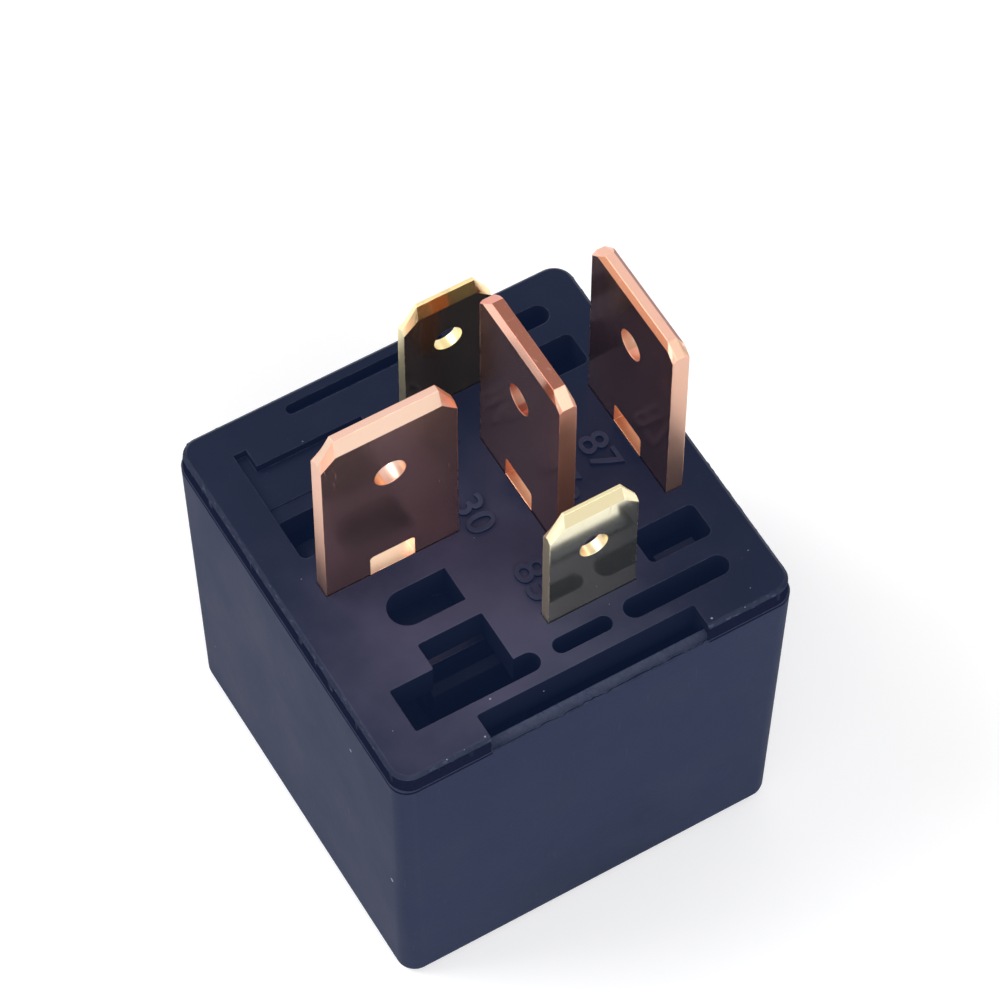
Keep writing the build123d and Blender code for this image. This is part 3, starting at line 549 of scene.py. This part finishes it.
for way in (-1, 1):
    inner = way * (side_length / 2 - COVER_WALL)
    bpy.ops.object.select_all(action="DESELECT")
    bpy.ops.mesh.primitive_cube_add(size=1.0, location=(inner, 0, CATCH_Z + CATCH_HEIGHT / 2))
    catch = bpy.context.object
    bpy.ops.object.mode_set(mode="EDIT")
    bpy.ops.mesh.select_all(action="SELECT")
    bpy.ops.transform.resize(value=(2 * CATCH_REACH, CATCH_WIDTH, CATCH_HEIGHT))
    bpy.ops.object.mode_set(mode="OBJECT")
    pick(catch, "vertices", lambda corner: corner.co.z > 0 and corner.co.x * way < 0)
    bpy.ops.transform.translate(value=(way * CATCH_REACH, 0, 0))
    bpy.ops.object.mode_set(mode="OBJECT")
    cover_shell.select_set(True)
    bpy.context.view_layer.objects.active = cover_shell
    bpy.ops.object.join()
bpy.ops.object.shade_smooth_by_angle(angle=math.radians(35))
smoothed = cover_shell.modifiers.new("smoothed", "WEIGHTED_NORMAL")
smoothed.keep_sharp = True
smoothed.weight = 90
bpy.ops.object.modifier_apply(modifier="smoothed")
cover_shell.data.materials.clear()
cover_shell.data.materials.append(cover_plastic)
cover_shell.data.materials.append(seam_shadow_plastic)
for cut_at, cut_normal in (((0, 0, mouth - MOUTH_DEPTH), (0, 0, 1)), ((NOTCH_LEFT, 0, 0), (1, 0, 0)),
                           ((NOTCH_RIGHT, 0, 0), (1, 0, 0))):
    pick(cover_shell, "polygons", lambda face: True)
    bpy.ops.mesh.bisect(plane_co=cut_at, plane_no=cut_normal)
    bpy.ops.object.mode_set(mode="OBJECT")
# the outer faces of the mouth, outside the notch, get the painted seam shadow
for face in cover_shell.data.polygons:
    at_notch = face.center.y < 0 and NOTCH_LEFT < face.center.x < NOTCH_RIGHT
    outward = face.center.x * face.normal.x + face.center.y * face.normal.y > 0.001
    if outward and face.center.z > mouth - MOUTH_DEPTH and not at_notch:
        face.material_index = 1
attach(cover_shell, "housing")
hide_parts("cover")


# Flash and painted seam shadow: a thin ragged lip left along the mouth of the cover where the mould closed, and a
# thin ragged ring of dark matt plastic round the plate's edge that paints the shadow in the seam.
SKIN_THICKNESS, NOTCH_SIDE, LONG_SIDE = 0.00006, -0.0140, 0.01


def ragged_ring(name, half, corner, low_z, high_z, tear, seed, finish, at_notch):
    bpy.ops.object.select_all(action="DESELECT")
    bpy.ops.mesh.primitive_plane_add(size=2 * half, location=(0, 0, low_z))
    ring = bpy.context.object
    ring.name = name
    bpy.ops.object.mode_set(mode="EDIT")
    bpy.ops.mesh.select_all(action="SELECT")
    bpy.ops.mesh.bevel(offset=corner, segments=8, affect="VERTICES")
    bpy.ops.mesh.select_all(action="SELECT")
    bpy.ops.mesh.delete(type="ONLY_FACE")
    bpy.ops.object.mode_set(mode="OBJECT")
    pick(ring, "edges", lambda side: (ends(ring, side)[0] - ends(ring, side)[1]).length > LONG_SIDE)
    bpy.ops.mesh.subdivide(number_cuts=90)
    bpy.ops.mesh.select_all(action="SELECT")
    bpy.ops.mesh.extrude_edges_move(TRANSFORM_OT_translate={"value": (0, 0, high_z - low_z)})
    bpy.ops.transform.vertex_random(offset=tear, seed=seed)
    bpy.ops.object.mode_set(mode="OBJECT")
    bpy.ops.object.transform_apply(location=True, rotation=True, scale=True)
    pick(ring, "polygons", lambda face: at_notch != (face.center.y < NOTCH_SIDE
                                                     and NOTCH_LEFT < face.center.x < NOTCH_RIGHT))
    bpy.ops.mesh.delete(type="FACE")
    bpy.ops.mesh.select_all(action="SELECT")
    bpy.ops.mesh.normals_make_consistent(inside=False)
    bpy.ops.object.mode_set(mode="OBJECT")
    thin = ring.modifiers.new("thin", "SOLIDIFY")
    thin.thickness = SKIN_THICKNESS
    thin.offset = -1.0
    bpy.ops.object.modifier_apply(modifier="thin")
    ring.data.materials.append(finish)
    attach(ring, "housing")


NO_POOL, NO_RIM = ((0.0, 0.0, 0.0), 0.001, 0.002), (1.0, 0.0)
flash_plastic = moulded("flash_plastic", (0.006, 0.009, 0.022, 1), (0.045, 0.050, 0.085, 1),
                        (0.045, 0.050, 0.085, 1), 0.5, 9000.0, 0.5, NO_POOL, NO_RIM, walls_in_shade)
ragged_ring("cover_flash", 0.01429, 0.0012, 0.02520, 0.02542, 0.00010, 5, flash_plastic, True)
ragged_ring("plate_seam_shadow", 0.01432, 0.0014, 0.02531, 0.02648, 0.00006, 9, seam_shadow_plastic, False)


# Numbers of the terminals: plain figures raised on the base plate beside each blade, moulded with the plate in one
# shot and of the same plastic; their tops are painted lighter as a painted highlight and their sides dark as
# painted shade.
PLATE_TOP = 0.0268
STROKE_GAIN, LETTER_DEPTH, NUMBER_RISE = 0.004, 0.05, 0.00026


def raised_number(words, low_x, high_x, middle_y, width):
    bpy.ops.object.select_all(action="DESELECT")
    bpy.ops.object.text_add()
    number = bpy.context.object
    number.name = "number_" + words
    number.data.body = words
    number.data.align_x, number.data.align_y = "CENTER", "CENTER"
    number.data.offset = STROKE_GAIN
    number.data.extrude = LETTER_DEPTH
    bpy.ops.object.convert(target="MESH")
    corners = [vertex.co for vertex in number.data.vertices]
    wide = max(c.x for c in corners) - min(c.x for c in corners)
    tall = max(c.y for c in corners) - min(c.y for c in corners)
    bpy.ops.object.mode_set(mode="EDIT")
    bpy.ops.mesh.select_all(action="SELECT")
    bpy.ops.mesh.remove_doubles(threshold=0.0001)
    bpy.ops.mesh.dissolve_limited(angle_limit=0.02)
    bpy.ops.mesh.normals_make_consistent(inside=False)
    bpy.ops.object.mode_set(mode="OBJECT")
    bpy.ops.object.origin_set(type="ORIGIN_GEOMETRY", center="BOUNDS")
    number.scale = (width / wide, (high_x - low_x) / tall, NUMBER_RISE / LETTER_DEPTH)
    number.rotation_euler = (0.0, 0.0, -math.pi / 2)
    number.location = ((low_x + high_x) / 2, middle_y, PLATE_TOP)
    bpy.ops.object.transform_apply(location=True, rotation=True, scale=True)
    number.data.materials.clear()
    number.data.materials.append(number_plastic)
    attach(number, "housing")


number_plastic = moulded("number_plastic", (0.022, 0.024, 0.042, 1), (0.036, 0.039, 0.062, 1),
                         (0.036, 0.039, 0.062, 1), 0.46, 3000.0, 0.15, NO_POOL, NO_RIM, walls_in_shade)
raised_number("30", -0.00145, 0.00050, 0.00015, 0.0027)
raised_number("87", 0.0077, 0.0097, 0.00021, 0.0029)
raised_number("87a", 0.0047, 0.0067, -0.0001, 0.0043)
raised_number("85", -0.00065, 0.00145, -0.0059, 0.0029)
raised_number("86", -0.00065, 0.00145, 0.0065, 0.0029)


# Crumbs: chips of pale plastic dust that cling to the plate, most of them at its edges.
# Each is a small flattened grain, here with its place and its size across in millimetres.
crumb_plastic = moulded("crumb_plastic", (0.20, 0.21, 0.26, 1), (0.42, 0.44, 0.52, 1),
                        (0.42, 0.44, 0.52, 1), 0.5, 9000.0, 0.5, NO_POOL, NO_RIM, walls_in_shade)
crumbs = []
for crumb_x, crumb_y, across in ((-10.87, -14.15, 0.16), (-6.43, -11.80, 0.20), (-8.05, -13.95, 0.20),
                                 (8.35, -13.80, 0.22), (10.56, -14.15, 0.14), (-12.71, -10.74, 0.12),
                                 (12.94, -10.73, 0.12), (11.59, -13.14, 0.12), (-7.12, 10.50, 0.16),
                                 (-12.20, 1.60, 0.12), (-1.37, -1.22, 0.10), (-9.60, -14.10, 0.12),
                                 (3.40, -9.70, 0.12), (-3.30, -13.00, 0.10)):
    bpy.ops.object.select_all(action="DESELECT")
    bpy.ops.mesh.primitive_ico_sphere_add(subdivisions=1, radius=across / 2000,
                                          location=(crumb_x / 1000, crumb_y / 1000, PLATE_TOP))
    bpy.ops.object.mode_set(mode="EDIT")
    bpy.ops.mesh.select_all(action="SELECT")
    bpy.ops.transform.resize(value=(1.0, 0.8, 0.5))
    bpy.ops.transform.vertex_random(offset=across / 9000, seed=len(crumbs))
    bpy.ops.object.mode_set(mode="OBJECT")
    crumbs.append(bpy.context.object)
for crumb in crumbs:
    crumb.select_set(True)
bpy.context.view_layer.objects.active = crumbs[0]
bpy.ops.object.join()
crumbs = bpy.context.object
crumbs.name = "dust_crumbs"
bpy.ops.object.transform_apply(location=True, rotation=True, scale=True)
crumbs.data.materials.append(crumb_plastic)
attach(crumbs, "housing")


# Studio: a pale floor and a white world, a soft lamp behind the left and a softer one in front,
# and the camera where the photograph was taken from.
FLOOR_GLOW, WORLD_LIGHT, WORLD_SEEN = 0.35, 0.45, 1.0


# 1 for the rays that see the background itself or its mirror image, 0 for those that it lights
def seen_rays(tree):
    rays = node(tree, "ShaderNodeLightPath").outputs
    mirrored = reckon(tree, "MAXIMUM", rays["Is Camera Ray"], rays["Is Glossy Ray"])
    return reckon(tree, "MAXIMUM", mirrored, rays["Is Transmission Ray"])


bpy.ops.mesh.primitive_plane_add(size=1.6, location=(0, 0, 0))
floor = bpy.context.object
floor.name = "floor"
floor_finish, tree, surface = material("pale_floor")
glow = reckon(tree, "MULTIPLY", seen_rays(tree), FLOOR_GLOW)
surface.inputs["Base Color"].default_value = (0.82, 0.82, 0.83, 1)
surface.inputs["Roughness"].default_value = 0.7
surface.inputs["Specular IOR Level"].default_value = 0.2
surface.inputs["Emission Color"].default_value = (1, 1, 1, 1)
tree.links.new(glow, surface.inputs["Emission Strength"])
floor.data.materials.append(floor_finish)

world = bpy.data.worlds.new("studio")
bpy.context.scene.world = world
world.use_nodes = True
tree = world.node_tree
level = node(tree, "ShaderNodeMapRange", {"Value": seen_rays(tree), "To Min": WORLD_LIGHT, "To Max": WORLD_SEEN})
tree.nodes["Background"].inputs["Color"].default_value = (1, 1, 1, 1)
tree.links.new(level.outputs["Result"], tree.nodes["Background"].inputs["Strength"])


def lamp(name, place_at, aim, size, power):
    light = bpy.data.lights.new(name, "AREA")
    light.shape = "RECTANGLE"
    light.size, light.size_y = size
    light.energy = power
    made = bpy.data.objects.new(name, light)
    bpy.context.scene.collection.objects.link(made)
    made.location = place_at
    sight = [a - b for a, b in zip(aim, place_at)]
    made.rotation_euler = (math.atan2(math.hypot(sight[0], sight[1]), -sight[2]), 0.0,
                           math.atan2(sight[1], sight[0]) - math.pi / 2)


lamp("key_softbox", (-0.30, 0.22, 0.42), (0.0, 0.0, 0.02), (0.30, 0.30), 1.6)
lamp("side_softbox", (-0.05, -0.36, 0.26), (0.0, 0.0, 0.02), (0.40, 0.40), 1.3)

camera = bpy.data.cameras.new("camera")
camera.lens = 180.14
camera.sensor_width = 36.0
camera.clip_start = 0.01
eye = bpy.data.objects.new("camera", camera)
bpy.context.scene.collection.objects.link(eye)
eye.location = (-0.08463, -0.14493, 0.29295)
eye.rotation_euler = (math.radians(32.3952), math.radians(-0.0871), math.radians(-30.5067))
bpy.context.scene.camera = eye
bpy.context.scene.view_settings.view_transform = "Standard"
